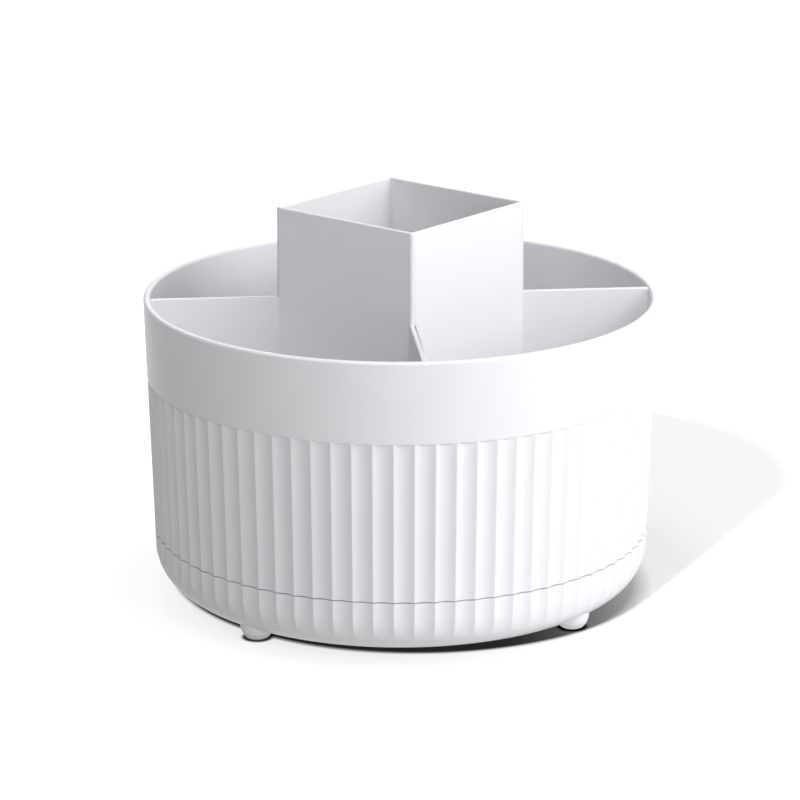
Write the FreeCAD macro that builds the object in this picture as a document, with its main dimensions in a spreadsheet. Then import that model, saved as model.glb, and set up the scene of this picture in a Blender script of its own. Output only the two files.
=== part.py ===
"""Rotating makeup brush holder: a fluted drum with five compartments that turns on a ball race in a low base.

Lengths are in millimetres and angles in degrees. The origin is on the table under the drum's axis, +Z is up,
the square centre tube's faces look along X and Y, and its fins lie on the diagonals.
"""
import FreeCAD, Part
import math
import os
import Sketcher

Vector = FreeCAD.Vector
Rotation = FreeCAD.Rotation
Placement = FreeCAD.Placement

ACROSS = Vector(0, 1, 0)

# Lengths this near count as the same.
CLOSE = 1e-4

# Every size that can be set by itself, with what it measures.
SIZES = {
    # drum
    "rim_diameter": (150, "outer diameter of the drum at its rim"),
    "rim_height": (88.6, "table to the drum's rim"),
    "draft_angle": (1.6, "lean of the outer wall, wider at the rim"),
    "drum_wall": (2.0, "drum wall, ridge to inside face"),
    "drum_floor": (2.4, "floor of the compartments"),
    "rim_round": (0.8, "rounding of both rim edges"),
    "inner_round": (3.0, "rounding where the drum's wall meets its floor"),
    # flutes, shared by drum and base
    "flute_count": (80, "flutes round the drum"),
    "flute_depth": (0.6, "depth of a flute below its ridges"),
    "ridge_land": (0.15, "width left of a ridge at the seam"),
    "flute_top": (65.2, "table to the flutes' upper end"),
    # seam between base and drum
    "seam_height": (18.5, "table to the base's upper edge"),
    "seam_gap": (0.4, "running gap between base and drum"),
    "skirt_depth": (4.0, "how far the drum's skirt dips into the base"),
    "skirt_wall": (1.6, "thickness of the skirt"),
    "skirt_clearance": (0.6, "skirt to the inside of the base"),
    # partition
    "tube_height": (115, "table to the top of the square tube"),
    "tube_side": (51.4, "outside of the tube across its flats, at the top"),
    "tube_wall": (1.2, "wall of the tube"),
    "tube_corner": (1.2, "outer corner radius of the tube"),
    "tube_draft": (0.3, "lean of each tube face, wider at the floor"),
    "fin_thickness": (1.8, "thickness of a fin"),
    "fin_drop": (0.3, "rim to the top of the fins"),
    "fin_gap": (0.3, "end of a fin to the drum's wall"),
    "locator_height": (1.5, "height of the square pad that centres the tube"),
    "locator_gap": (0.2, "pad to the inside of the tube"),
    # base
    "base_floor": (2.2, "floor of the base"),
    "base_wall": (2.2, "wall of the base, ridge to inside face"),
    "base_round": (12.0, "rounding of the base's lower edge"),
    "hub_radius": (15.0, "outside of the base's hub"),
    "hub_recess_radius": (12.0, "recess under the hub for washer and screw"),
    "hub_recess_depth": (5.2, "depth of that recess"),
    "hub_web": (5.0, "height of the hub above the recess"),
    # feet
    "foot_height": (2.0, "height of a foot pad, table to base"),
    "foot_diameter": (10.0, "diameter of a foot pad"),
    "foot_round": (1.4, "rounding of a foot pad's lower edge"),
    "foot_inset": (8.6, "outer wall at the base's underside to the centre of a foot pad"),
    "foot_count": (4, "foot pads"),
    "boss_height": (5.0, "height of the boss that a foot pad sits under"),
    "peg_diameter": (4.0, "peg that holds a foot pad"),
    "peg_length": (1.6, "length of that peg"),
    "peg_gap": (0.05, "peg to its hole"),
    # ball race
    "track_radius": (45.0, "axis to the centre of a ball"),
    "ball_diameter": (6.0, "diameter of a ball"),
    "ball_count": (12, "balls in the cage"),
    "ball_play": (0.15, "ball to the groove it runs in"),
    "race_width": (12.0, "radial width of a race"),
    "race_thickness": (2.0, "thickness of a race"),
    "groove_depth": (0.8, "depth of the groove in a race"),
    "race_fit": (0.1, "race to the lip that centres it"),
    "seat_width": (1.5, "width of each of the two ribs under a race"),
    "lip_wall": (1.4, "thickness of the lips that centre a race"),
    "lip_height": (1.3, "height of those lips above the seat"),
    "plinth_height": (2.0, "base floor to the lower race"),
    "cage_width": (11.0, "radial width of the ball cage"),
    "cage_thickness": (2.4, "thickness of the ball cage"),
    "pocket_clearance": (0.2, "ball to its pocket in the cage"),
    # pivot
    "spigot_radius": (7.0, "spigot under the drum's floor"),
    "bush_running": (0.05, "spigot to bush"),
    "bush_wall": (2.0, "wall of the bush"),
    "bush_fit": (0.02, "bush to the hub's bore"),
    "flange_radius": (12.0, "flange of the bush"),
    "flange_thickness": (1.5, "thickness of that flange"),
    "washer_play": (0.3, "washer to the roof of the recess"),
    "washer_radius": (10.5, "outside of the retaining washer"),
    "washer_thickness": (1.2, "thickness of the retaining washer"),
    "screw_radius": (2.0, "shank of the pivot screw"),
    "screw_gap": (0.05, "shank to the spigot's bore"),
    "screw_length": (11.0, "shank below the washer's lower face to the tip"),
    "screw_head_radius": (4.0, "head of the pivot screw"),
    "screw_head_height": (2.4, "height of that head"),
    "screw_head_round": (0.8, "rounding of that head"),
    "bore_spare": (1.0, "bore left past the screw's tip"),
    # stiffening ribs, base and drum
    "rib_count": (8, "radial ribs"),
    "rib_thickness": (1.5, "thickness of a rib"),
    "rib_height": (2.5, "height of a rib"),
    "rib_bite": (0.4, "how far a rib's end reaches into what it joins"),
}

# Expressions worked out from the sizes. Heights start at the table.
BASE_UNDER = "sizes.foot_height"
BASE_FLOOR = "(sizes.foot_height + sizes.base_floor)"
LOWER_SEAT = f"({BASE_FLOOR} + sizes.plinth_height)"
BALL_HEIGHT = (f"({LOWER_SEAT} + sizes.race_thickness - sizes.groove_depth"
               " + sizes.ball_play + sizes.ball_diameter / 2)")
UPPER_SEAT = (f"({BALL_HEIGHT} + sizes.ball_diameter / 2 + sizes.ball_play"
              " - sizes.groove_depth + sizes.race_thickness)")
DRUM_UNDER = "(sizes.seam_height + sizes.seam_gap)"
DRUM_FLOOR = f"({DRUM_UNDER} + sizes.drum_floor)"
FIN_TOP = "(sizes.rim_height - sizes.fin_drop)"
HUB_ROOF = f"({BASE_UNDER} + sizes.hub_recess_depth)"
HUB_TOP = f"({HUB_ROOF} + sizes.hub_web)"
SPIGOT_END = f"({HUB_ROOF} - sizes.washer_play)"
WASHER_UNDER = f"({SPIGOT_END} - sizes.washer_thickness)"
SCREW_TIP = f"({WASHER_UNDER} + sizes.screw_length)"

RACE_IN = "(sizes.track_radius - sizes.race_width / 2)"
RACE_OUT = "(sizes.track_radius + sizes.race_width / 2)"
INNER_LIP = f"({RACE_IN} - sizes.race_fit)"
OUTER_LIP = f"({RACE_OUT} + sizes.race_fit)"
SEAT_RIB_IN = f"({INNER_LIP} - sizes.lip_wall)"
SEAT_RIB_OUT = f"({OUTER_LIP} + sizes.lip_wall)"
BUSH_BORE = "(sizes.spigot_radius + sizes.bush_running)"
BUSH_OUT = f"({BUSH_BORE} + sizes.bush_wall)"
HUB_BORE = f"({BUSH_OUT} + sizes.bush_fit)"
SCREW_BORE = "(sizes.screw_radius + sizes.screw_gap)"


def wall_radius(height):
    """Outer radius of the leaning wall, over the ridges, at a height."""
    return f"(sizes.rim_diameter / 2 - (sizes.rim_height - {height}) * tan(sizes.draft_angle * 1 deg))"


def drum_inside(height):
    """Inner radius of the drum's wall at a height."""
    return f"({wall_radius(height)} - sizes.drum_wall)"


def base_inside(height):
    """Inner radius of the base's wall at a height."""
    return f"({wall_radius(height)} - sizes.base_wall)"


def tube_half(height):
    """Half the tube's outside across its flats at a height."""
    return f"(sizes.tube_side / 2 + (sizes.tube_height - {height}) * tan(sizes.tube_draft * 1 deg))"


FOOT_CIRCLE = f"({wall_radius(BASE_UNDER)} - sizes.foot_inset)"
SKIRT_OUT = f"({base_inside('sizes.seam_height')} - sizes.skirt_clearance)"
SKIRT_IN = f"({SKIRT_OUT} - sizes.skirt_wall)"

# A flute is a leaning cylinder's cut, whose chord at the seam leaves the ridge's land.
FLUTE_CHORD = (f"(2 * {wall_radius('sizes.seam_height')} * sin(180 deg / sizes.flute_count)"
               " - sizes.ridge_land)")
FLUTE_RADIUS = (f"(({FLUTE_CHORD} * {FLUTE_CHORD} / 4 + sizes.flute_depth * sizes.flute_depth)"
                " / (2 * sizes.flute_depth))")
CHORD_RISE = (f"({wall_radius('sizes.seam_height')} - sqrt({wall_radius('sizes.seam_height')} ^ 2"
              f" - {FLUTE_CHORD} ^ 2 / 4))")

doc = FreeCAD.newDocument("brush_holder")


def make_sheet():
    """Put the driving sizes in a spreadsheet, one row each: name, value, meaning."""
    sheet = doc.addObject("Spreadsheet::Sheet", "sizes")
    for row, (name, (size, meaning)) in enumerate(SIZES.items(), start=1):
        sheet.set(f"A{row}", name)
        sheet.set(f"B{row}", str(size))
        sheet.set(f"C{row}", meaning)
        sheet.setAlias(f"B{row}", name)
    doc.recompute()
    return sheet


sizes = make_sheet()


def value(expression):
    """Number that an expression has with the present sizes."""
    return float(sizes.evalExpression(expression.replace("sizes.", "")))


def bind(feature, **expressions):
    """Tie properties of a feature to expressions; a double underscore stands for a dot."""
    for prop, expression in expressions.items():
        feature.setExpression(prop.replace("__", "."), expression)


def make_body(label):
    """New body whose label names its file."""
    body = doc.addObject("PartDesign::Body", label)
    body.Label = label
    return body


def origin_item(body, role):
    """Plane or axis of the body's own origin."""
    return next(item for item in body.Origin.OriginFeatures if item.Role == role)


def make_sketch(body, plane="XZ_Plane", turn=0, lift=None):
    """Sketch on an origin plane, turned about the vertical or lifted to a height."""
    sketch = body.newObject("Sketcher::SketchObject", "outline")
    sketch.AttachmentSupport = [(origin_item(body, plane), "")]
    sketch.MapMode = "FlatFace"
    sketch.AttachmentOffset = Placement(Vector(), Rotation(ACROSS, turn))
    if lift:
        bind(sketch, AttachmentOffset__Base__z=lift)
    return sketch


def pin_point(sketch, line, u, v):
    """Hold the first point of a line at the expressions u and v."""
    for kind, axis, expression in (("DistanceX", -2, u), ("DistanceY", -1, v)):
        if expression == "0":
            sketch.addConstraint(Sketcher.Constraint("PointOnObject", line, 1, axis))
        else:
            index = sketch.addConstraint(Sketcher.Constraint(kind, -1, 1, line, 1, value(expression)))
            sketch.setExpression(f"Constraints[{index}]", expression)


def draw_outline(sketch, corners):
    """Closed outline of straight lines through corners, each a pair of expressions."""
    points = [Vector(value(u), value(v), 0) for u, v in corners]
    first = sketch.GeometryCount
    count = len(points)
    for k in range(count):
        sketch.addGeometry(Part.LineSegment(points[k], points[(k + 1) % count]))
    for k in range(count):
        sketch.addConstraint(Sketcher.Constraint("Coincident", first + k, 2, first + (k + 1) % count, 1))
    for k, (u, v) in enumerate(corners):
        pin_point(sketch, first + k, u, v)


def turn_outline(body, corners):
    """Revolve an outline of radius and height corners about the body's axis."""
    sketch = make_sketch(body)
    draw_outline(sketch, corners)
    ring = body.newObject("PartDesign::Revolution", "turned")
    ring.Profile = sketch
    ring.ReferenceAxis = (sketch, ["V_Axis"])
    ring.Angle = 360
    doc.recompute()


def ring_at(radius, height):
    """Test that picks the circular edge at a radius and height."""
    def is_ring(edge):
        circle = edge.Curve
        if not isinstance(circle, Part.Circle):
            return False
        return math.isclose(circle.Radius, value(radius), abs_tol=CLOSE) and \
            math.isclose(circle.Center.z, value(height), abs_tol=CLOSE)
    return is_ring


def upright(edge):
    """Test that picks the long edges that rise from floor to top."""
    box = edge.BoundBox
    return box.ZLength > max(box.XLength, box.YLength)


def round_edges(body, radius, *tests):
    """Fillet the edges that any of the tests picks."""
    base = body.Tip
    names = [f"Edge{number}" for number, edge in enumerate(base.Shape.Edges, start=1)
             if any(test(edge) for test in tests)]
    if not names:
        raise RuntimeError(f"{body.Label} has no edge to round by {radius}")
    fillet = body.newObject("PartDesign::Fillet", "rounding")
    fillet.Base = (base, names)
    bind(fillet, Radius=radius)
    doc.recompute()


def repeat_round(body, original, count):
    """Polar pattern of a feature about the body's axis."""
    pattern = body.newObject("PartDesign::PolarPattern", "repeat")
    pattern.Originals = [original]
    pattern.Axis = (origin_item(body, "Z_Axis"), [""])
    pattern.Angle = 360
    bind(pattern, Occurrences=count)
    body.Tip = pattern
    doc.recompute()


def add_cylinder(body, kind, radius, length, u, z, lean=None):
    """Additive or subtractive cylinder that starts at (u, 0, z) and may lean outwards."""
    cylinder = body.newObject(kind, "cylinder")
    bind(cylinder, Radius=radius, Height=length, Placement__Base__x=u, Placement__Base__z=z)
    if lean:
        cylinder.Placement = Placement(Vector(), Rotation(ACROSS, value(lean)))
        bind(cylinder, Placement__Rotation__Angle=f"{lean} * 1 deg")
    doc.recompute()
    return cylinder


def pad_plan(body, outlines, start, height, down=False):
    """Pad flat outlines from a height, upwards or downwards."""
    sketch = make_sketch(body, "XY_Plane", lift=start)
    for corners in outlines:
        draw_outline(sketch, corners)
    pad = body.newObject("PartDesign::Pad", "raised")
    pad.Profile = sketch
    pad.Reversed = down
    bind(pad, Length=height)
    doc.recompute()
    return pad


def cut_flutes(body, start, end):
    """Flutes round the leaning wall between two heights."""
    axis = f"({wall_radius(start)} - {CHORD_RISE} - sizes.flute_depth + {FLUTE_RADIUS})"
    length = f"(({end} - {start}) / cos(sizes.draft_angle * 1 deg))"
    flute = add_cylinder(body, "PartDesign::SubtractiveCylinder", FLUTE_RADIUS, length, axis, start,
                         "sizes.draft_angle")
    repeat_round(body, flute, "sizes.flute_count")


def square_plan(half):
    """Corners of a square about the axis, in plan."""
    return [(f"-{half}", f"-{half}"), (half, f"-{half}"), (half, half), (f"-{half}", half)]


def rib_plan(start, end):
    """Corners of a thin rib along X between two radii, in plan."""
    side = "sizes.rib_thickness / 2"
    return [(start, f"-{side}"), (end, f"-{side}"), (end, side), (start, side)]


def make_base():
    """Low dish that stands still: fluted wall, race plinth, hub, foot bosses and ribs."""
    body = make_body("base_dish")
    lip_top = f"({LOWER_SEAT} + sizes.lip_height)"
    turn_outline(body, [
        (HUB_BORE, HUB_ROOF),
        ("sizes.hub_recess_radius", HUB_ROOF),
        ("sizes.hub_recess_radius", BASE_UNDER),
        (wall_radius(BASE_UNDER), BASE_UNDER),
        (wall_radius("sizes.seam_height"), "sizes.seam_height"),
        (base_inside("sizes.seam_height"), "sizes.seam_height"),
        (base_inside(BASE_FLOOR), BASE_FLOOR),
        (SEAT_RIB_OUT, BASE_FLOOR),
        (SEAT_RIB_OUT, lip_top),
        (OUTER_LIP, lip_top),
        (OUTER_LIP, LOWER_SEAT),
        (f"{RACE_OUT} - sizes.seat_width", LOWER_SEAT),
        (f"{RACE_OUT} - sizes.seat_width", BASE_FLOOR),
        (f"{RACE_IN} + sizes.seat_width", BASE_FLOOR),
        (f"{RACE_IN} + sizes.seat_width", LOWER_SEAT),
        (INNER_LIP, LOWER_SEAT),
        (INNER_LIP, lip_top),
        (SEAT_RIB_IN, lip_top),
        (SEAT_RIB_IN, BASE_FLOOR),
        ("sizes.hub_radius", BASE_FLOOR),
        ("sizes.hub_radius", HUB_TOP),
        (HUB_BORE, HUB_TOP),
    ])
    inside_round = "(sizes.base_round - sizes.base_wall)"
    round_edges(body, "sizes.base_round", ring_at(wall_radius(BASE_UNDER), BASE_UNDER))
    round_edges(body, inside_round, ring_at(base_inside(BASE_FLOOR), BASE_FLOOR))

    boss = add_cylinder(body, "PartDesign::AdditiveCylinder",
                        "sizes.foot_diameter / 2", "sizes.boss_height", FOOT_CIRCLE, BASE_UNDER)
    repeat_round(body, boss, "sizes.foot_count")
    hole = add_cylinder(body, "PartDesign::SubtractiveCylinder",
                        "sizes.peg_diameter / 2 + sizes.peg_gap", "sizes.peg_length + sizes.peg_gap",
                        FOOT_CIRCLE, BASE_UNDER)
    repeat_round(body, hole, "sizes.foot_count")

    # The outer ribs end where the rounded corner starts to rise.
    rib_end = f"({base_inside(BASE_FLOOR)} - {inside_round} / 2)"
    ribs = pad_plan(body, [
        rib_plan("(sizes.hub_radius - sizes.rib_bite)", f"({SEAT_RIB_IN} + sizes.rib_bite)"),
        rib_plan(f"({SEAT_RIB_OUT} - sizes.rib_bite)", rib_end),
    ], BASE_FLOOR, "sizes.rib_height")
    repeat_round(body, ribs, "sizes.rib_count")
    cut_flutes(body, BASE_UNDER, DRUM_UNDER)
    return body


def make_drum():
    """Turning pot: fluted wall, floor, race seat, pivot spigot, skirt and locating pad."""
    body = make_body("drum_shell")
    lip_low = f"({UPPER_SEAT} - sizes.lip_height)"
    bore_top = f"({SCREW_TIP} + sizes.bore_spare)"
    skirt_low = f"({DRUM_UNDER} - sizes.skirt_depth)"
    turn_outline(body, [
        ("0", bore_top),
        (SCREW_BORE, bore_top),
        (SCREW_BORE, SPIGOT_END),
        ("sizes.spigot_radius", SPIGOT_END),
        ("sizes.spigot_radius", DRUM_UNDER),
        (SEAT_RIB_IN, DRUM_UNDER),
        (SEAT_RIB_IN, lip_low),
        (INNER_LIP, lip_low),
        (INNER_LIP, UPPER_SEAT),
        (f"{RACE_IN} + sizes.seat_width", UPPER_SEAT),
        (f"{RACE_IN} + sizes.seat_width", DRUM_UNDER),
        (f"{RACE_OUT} - sizes.seat_width", DRUM_UNDER),
        (f"{RACE_OUT} - sizes.seat_width", UPPER_SEAT),
        (OUTER_LIP, UPPER_SEAT),
        (OUTER_LIP, lip_low),
        (SEAT_RIB_OUT, lip_low),
        (SEAT_RIB_OUT, DRUM_UNDER),
        (SKIRT_IN, DRUM_UNDER),
        (SKIRT_IN, skirt_low),
        (SKIRT_OUT, skirt_low),
        (SKIRT_OUT, DRUM_UNDER),
        (wall_radius(DRUM_UNDER), DRUM_UNDER),
        (wall_radius("sizes.rim_height"), "sizes.rim_height"),
        (drum_inside("sizes.rim_height"), "sizes.rim_height"),
        (drum_inside(DRUM_FLOOR), DRUM_FLOOR),
        ("0", DRUM_FLOOR),
    ])
    round_edges(body, "sizes.rim_round",
                ring_at(wall_radius("sizes.rim_height"), "sizes.rim_height"),
                ring_at(drum_inside("sizes.rim_height"), "sizes.rim_height"))
    round_edges(body, "sizes.inner_round", ring_at(drum_inside(DRUM_FLOOR), DRUM_FLOOR))

    locator_half = f"({tube_half(DRUM_FLOOR)} - sizes.tube_wall - sizes.locator_gap)"
    pad_plan(body, [square_plan(locator_half)], DRUM_FLOOR, "sizes.locator_height")
    ribs = pad_plan(body, [
        rib_plan("(sizes.spigot_radius - sizes.rib_bite)", f"({SEAT_RIB_IN} + sizes.rib_bite)"),
        rib_plan(f"({SEAT_RIB_OUT} - sizes.rib_bite)", f"({SKIRT_IN} + sizes.rib_bite)"),
    ], DRUM_UNDER, "sizes.rib_height", down=True)
    repeat_round(body, ribs, "sizes.rib_count")
    cut_flutes(body, "sizes.seam_height", "sizes.flute_top")
    return body


def make_partition():
    """Square centre tube, open at both ends, with a fin from each corner to the drum's wall."""
    body = make_body("centre_partition")
    tube_length = f"(sizes.tube_height - {DRUM_FLOOR})"
    tube = pad_plan(body, [square_plan(tube_half(DRUM_FLOOR))], DRUM_FLOOR, tube_length)
    bind(tube, TaperAngle="-sizes.tube_draft * 1 deg")
    doc.recompute()
    round_edges(body, "sizes.tube_corner", upright)

    # Each fin starts inside the tube, whose bore is cut last.
    fin_end = f"({drum_inside(DRUM_FLOOR)} - sizes.fin_gap)"
    fin_top_end = f"({drum_inside(FIN_TOP)} - sizes.fin_gap)"
    relief = "(sizes.inner_round + sizes.fin_gap)"
    sketch = make_sketch(body, turn=45)
    draw_outline(sketch, [
        ("sizes.tube_side / 2", DRUM_FLOOR),
        (f"({fin_end} - {relief})", DRUM_FLOOR),
        (fin_end, f"({DRUM_FLOOR} + {relief})"),
        (fin_top_end, FIN_TOP),
        ("sizes.tube_side / 2", FIN_TOP),
    ])
    fin = body.newObject("PartDesign::Pad", "fin")
    fin.Profile = sketch
    fin.SideType = "Symmetric"
    bind(fin, Length="sizes.fin_thickness")
    doc.recompute()
    repeat_round(body, fin, "4")

    bore_sketch = make_sketch(body, "XY_Plane", lift=DRUM_FLOOR)
    draw_outline(bore_sketch, square_plan(f"({tube_half(DRUM_FLOOR)} - sizes.tube_wall)"))
    bore = body.newObject("PartDesign::Pocket", "tube_bore")
    bore.Profile = bore_sketch
    bore.Reversed = True
    bind(bore, Length=tube_length, TaperAngle="-sizes.tube_draft * 1 deg")
    doc.recompute()
    return body


def make_race(label, low):
    """Flat ring with a round groove that faces the balls."""
    body = make_body(label)
    high = f"({low} + sizes.race_thickness)"
    turn_outline(body, [(RACE_IN, low), (RACE_OUT, low), (RACE_OUT, high), (RACE_IN, high)])
    groove = body.newObject("PartDesign::SubtractiveTorus", "groove")
    bind(groove, Radius1="sizes.track_radius", Radius2="sizes.ball_diameter / 2 + sizes.ball_play",
         Placement__Base__z=BALL_HEIGHT)
    doc.recompute()
    return body


def make_cage():
    """Flat ring with a round pocket for each ball."""
    body = make_body("ball_cage")
    inner = "(sizes.track_radius - sizes.cage_width / 2)"
    outer = "(sizes.track_radius + sizes.cage_width / 2)"
    low = f"({BALL_HEIGHT} - sizes.cage_thickness / 2)"
    high = f"({BALL_HEIGHT} + sizes.cage_thickness / 2)"
    turn_outline(body, [(inner, low), (outer, low), (outer, high), (inner, high)])
    pocket = add_cylinder(body, "PartDesign::SubtractiveCylinder",
                          "sizes.ball_diameter / 2 + sizes.pocket_clearance",
                          "sizes.cage_thickness", "sizes.track_radius", low)
    repeat_round(body, pocket, "sizes.ball_count")
    return body


def place_round(item, radius, count, number):
    """Move an item to its place in a ring of equal ones."""
    turn = f"{number} * 360 deg / {count}"
    bind(item, Placement__Base__x=f"{radius} * cos({turn})", Placement__Base__y=f"{radius} * sin({turn})")


def make_ball(number):
    """One ball of the race."""
    label = f"bearing_ball_{number + 1:02d}"
    ball = doc.addObject("Part::Sphere", label)
    ball.Label = label
    bind(ball, Radius="sizes.ball_diameter / 2", Placement__Base__z=BALL_HEIGHT)
    place_round(ball, "sizes.track_radius", "sizes.ball_count", number)
    return ball


def make_foot(number):
    """Soft foot pad with a peg that presses in the base."""
    body = make_body(f"foot_pad_{number + 1}")
    peg_end = f"({BASE_UNDER} + sizes.peg_length)"
    turn_outline(body, [
        ("0", "0"),
        ("sizes.foot_diameter / 2", "0"),
        ("sizes.foot_diameter / 2", BASE_UNDER),
        ("sizes.peg_diameter / 2", BASE_UNDER),
        ("sizes.peg_diameter / 2", peg_end),
        ("0", peg_end),
    ])
    round_edges(body, "sizes.foot_round", ring_at("sizes.foot_diameter / 2", "0 mm"))
    place_round(body, FOOT_CIRCLE, "sizes.foot_count", number)
    return body


def make_bush():
    """Flanged sleeve pressed in the base's hub, in which the drum's spigot turns."""
    body = make_body("pivot_bush")
    top = f"({HUB_TOP} + sizes.flange_thickness)"
    turn_outline(body, [
        (BUSH_BORE, HUB_ROOF),
        (BUSH_OUT, HUB_ROOF),
        (BUSH_OUT, HUB_TOP),
        ("sizes.flange_radius", HUB_TOP),
        ("sizes.flange_radius", top),
        (BUSH_BORE, top),
    ])
    return body


def make_washer():
    """Washer clamped to the spigot's end, which keeps the drum on its base."""
    body = make_body("retaining_washer")
    turn_outline(body, [
        (SCREW_BORE, WASHER_UNDER),
        ("sizes.washer_radius", WASHER_UNDER),
        ("sizes.washer_radius", SPIGOT_END),
        (SCREW_BORE, SPIGOT_END),
    ])
    return body


def make_screw():
    """Pan-head screw that holds the washer to the spigot."""
    body = make_body("pivot_screw")
    head_low = f"({WASHER_UNDER} - sizes.screw_head_height)"
    turn_outline(body, [
        ("0", head_low),
        ("sizes.screw_head_radius", head_low),
        ("sizes.screw_head_radius", WASHER_UNDER),
        ("sizes.screw_radius", WASHER_UNDER),
        ("sizes.screw_radius", SCREW_TIP),
        ("0", SCREW_TIP),
    ])
    round_edges(body, "sizes.screw_head_round", ring_at("sizes.screw_head_radius", head_low))
    return body


def check_all():
    """Stop if any object failed to build or has no sound shape."""
    for item in doc.Objects:
        if {"Invalid", "Error"} & set(item.State):
            raise RuntimeError(f"{item.Label} did not build: {item.State}")
    for node in nodes:
        if node.Shape.isNull() or not node.Shape.isValid():
            raise RuntimeError(f"{node.Label} has no sound shape")


def write_all():
    """Write each sub-part to a file that its label names."""
    os.makedirs("parts", exist_ok=True)
    for node in nodes:
        node.Shape.exportStep(os.path.join("parts", f"{node.Label}.step"))


nodes = [
    make_base(),
    make_drum(),
    make_partition(),
    make_race("lower_race", LOWER_SEAT),
    make_race("upper_race", f"({UPPER_SEAT} - sizes.race_thickness)"),
    make_cage(),
    make_bush(),
    make_washer(),
    make_screw(),
]
nodes += [make_ball(number) for number in range(round(value("sizes.ball_count")))]
nodes += [make_foot(number) for number in range(round(value("sizes.foot_count")))]
doc.recompute()
check_all()
write_all()
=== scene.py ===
"""Looks of a rotating makeup brush holder: a white fluted pot with a square centre tube, on a low base.

Every length in this file is in millimetres until a mesh is made, where it becomes metres. The frame is the
row's: origin on the table under the drum's axis, +Z up, the tube's faces along X and Y, its fins on the
diagonals.
"""
import logging
import math
from collections.abc import Callable
from dataclasses import dataclass, field
from enum import Enum

import bpy
import numpy as np
from mathutils import Matrix, Vector


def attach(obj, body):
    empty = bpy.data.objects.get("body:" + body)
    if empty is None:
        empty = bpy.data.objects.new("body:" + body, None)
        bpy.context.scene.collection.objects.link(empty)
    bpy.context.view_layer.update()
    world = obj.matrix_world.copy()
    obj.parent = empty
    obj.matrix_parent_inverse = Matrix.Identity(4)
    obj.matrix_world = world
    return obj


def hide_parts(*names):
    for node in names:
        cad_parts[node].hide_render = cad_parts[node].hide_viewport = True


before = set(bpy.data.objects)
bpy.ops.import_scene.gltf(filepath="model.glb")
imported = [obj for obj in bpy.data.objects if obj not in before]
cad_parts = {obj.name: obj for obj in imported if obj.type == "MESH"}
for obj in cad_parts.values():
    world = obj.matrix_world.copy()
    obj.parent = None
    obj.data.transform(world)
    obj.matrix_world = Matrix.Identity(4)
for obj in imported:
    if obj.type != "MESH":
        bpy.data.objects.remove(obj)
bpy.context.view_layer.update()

MM = 0.001
WHITE = (1.0, 1.0, 1.0, 1.0)
WAVE_SCALE = 0.3  # rings of the wave texture to one unit of its scale
SINK = 0.3  # how far a rib or pad reaches into what carries it
POLE = 0.01  # radius of the last ring round an axis, which a fan closes
RACE_STEPS = (37.5, 38.9, 40.5, 49.5, 51.1, 52.5)  # radii of the ribs and the seat that hold a race
log = logging.getLogger("brush_holder")


class Body(Enum):
    """Rigid bodies that a new piece can ride on."""

    BASE = "base"
    DRUM = "drum"
    PARTITION = "partition"


class Slot(Enum):
    """Material slots that a new piece can have."""

    SHELL = "shell_white"
    FOOT = "foot_rubber"
    SCREW = "screw_steel"


class Wire:
    """A shader socket that takes part in arithmetic: every operator adds one Math node."""

    def __init__(self, graph: "Graph", socket: bpy.types.NodeSocket) -> None:
        """Wrap a socket of a graph."""
        self.graph = graph
        self.socket = socket

    def _math(self, operation: str, *values: "Wire | float") -> "Wire":
        """Add a Math node that works on the given values."""
        return self.graph.add("ShaderNodeMath", {"operation": operation}, dict(enumerate(values)))

    def __add__(self, other: "Wire | float") -> "Wire":
        """Sum."""
        return self._math("ADD", self, other)

    def __sub__(self, other: "Wire | float") -> "Wire":
        """Difference."""
        return self._math("SUBTRACT", self, other)

    def __rsub__(self, other: "Wire | float") -> "Wire":
        """Reflected difference."""
        return self._math("SUBTRACT", other, self)

    def __mul__(self, other: "Wire | float") -> "Wire":
        """Product."""
        return self._math("MULTIPLY", self, other)

    __radd__ = __add__
    __rmul__ = __mul__


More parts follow.
